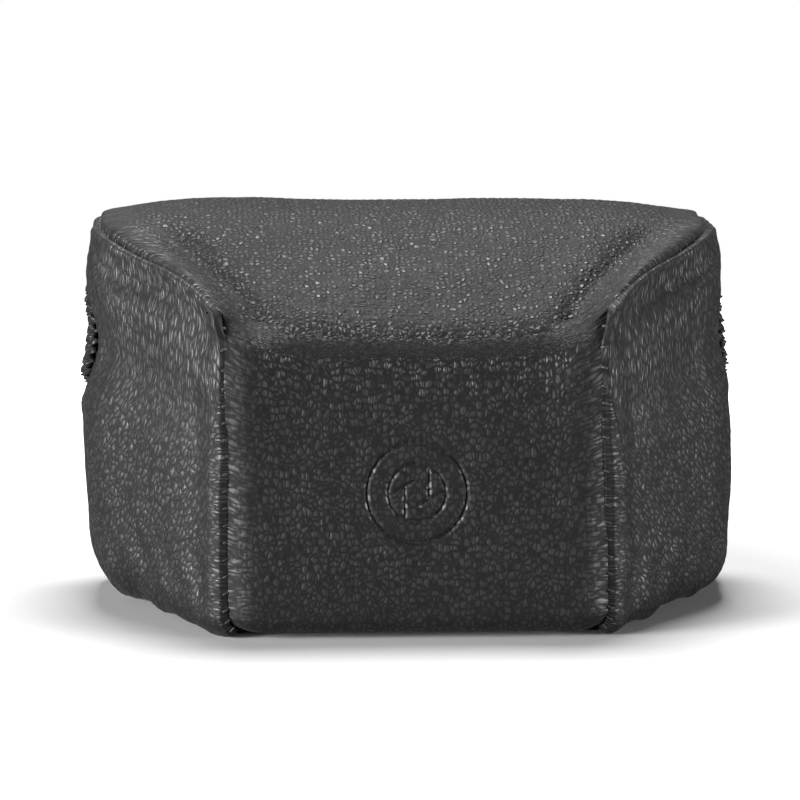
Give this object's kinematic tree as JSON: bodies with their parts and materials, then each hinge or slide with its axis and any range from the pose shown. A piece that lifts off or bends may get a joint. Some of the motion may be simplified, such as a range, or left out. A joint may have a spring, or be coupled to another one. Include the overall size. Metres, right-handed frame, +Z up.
{
  "type": "leather camera case",
  "caption": "Soft grained black leather case that wraps a compact camera with a short lens, with a hinged back flap on press studs.",
  "frame": {"origin": "centre of the flat sole of the base, on the plane the case rests on", "axes": "+X to the right seen from the front, +Y from the nose towards the closing flap, +Z up"},
  "size_m": [0.1574, 0.0899, 0.0932],
  "materials": {
    "black_leather": "soft grained, satin",
    "suede_lining": "napped suede cloth",
    "fibre_board": "pressed leather-fibre board",
    "black_thread": "waxed bonded thread",
    "elastic_cord": "braided cover",
    "black_enamel": "gloss black enamel over brass",
    "brass": "plain turned brass, slightly dull",
    "spring_steel": "drawn wire"
  },
  "bodies": {
    "case": {"nose_top_leather": "black_leather", "left_wing_leather": "black_leather", "right_wing_leather": "black_leather", "base_leather": "black_leather", "low_back_leather": "black_leather", "nose_top_lining": "suede_lining", "left_wing_lining": "suede_lining", "right_wing_lining": "suede_lining", "base_lining": "suede_lining", "low_back_lining": "suede_lining", "nose_board": "fibre_board", "base_board": "fibre_board", "low_back_board": "fibre_board", "left_seam_thread": "black_thread", "right_seam_thread": "black_thread", "mouth_edge_thread": "black_thread", "left_opening_edging": "black_leather", "right_opening_edging": "black_leather", "snap_studs": "brass", "snap_rivets": "brass"},
    "flap": {"flap_leather": "black_leather", "flap_lining": "suede_lining", "flap_board": "fibre_board", "flap_edge_thread": "black_thread", "snap_caps": "black_enamel", "snap_sockets": "brass", "snap_springs": "spring_steel"},
    "left_ear": {"left_ear_leather": "black_leather", "left_ear_elastic": "elastic_cord", "left_ear_thread": "black_thread"},
    "right_ear": {"right_ear_leather": "black_leather", "right_ear_elastic": "elastic_cord", "right_ear_thread": "black_thread"}
  },
  "joints": [
    {"name": "flap_hinge", "type": "hinge", "parent": "case", "child": "flap", "pos_m": [0, 0.04195, 0.0902], "axis": [1, 0, 0], "range_deg": [0, 170]},
    {"name": "left_ear_flex", "type": "hinge", "parent": "flap", "child": "left_ear", "pos_m": [-0.06855, 0.04215, 0.062], "axis": [0, 0, -1], "range_deg": [0, 40]},
    {"name": "right_ear_flex", "type": "hinge", "parent": "flap", "child": "right_ear", "pos_m": [0.06855, 0.04215, 0.062], "axis": [0, 0, 1], "range_deg": [0, 40]}
  ]
}
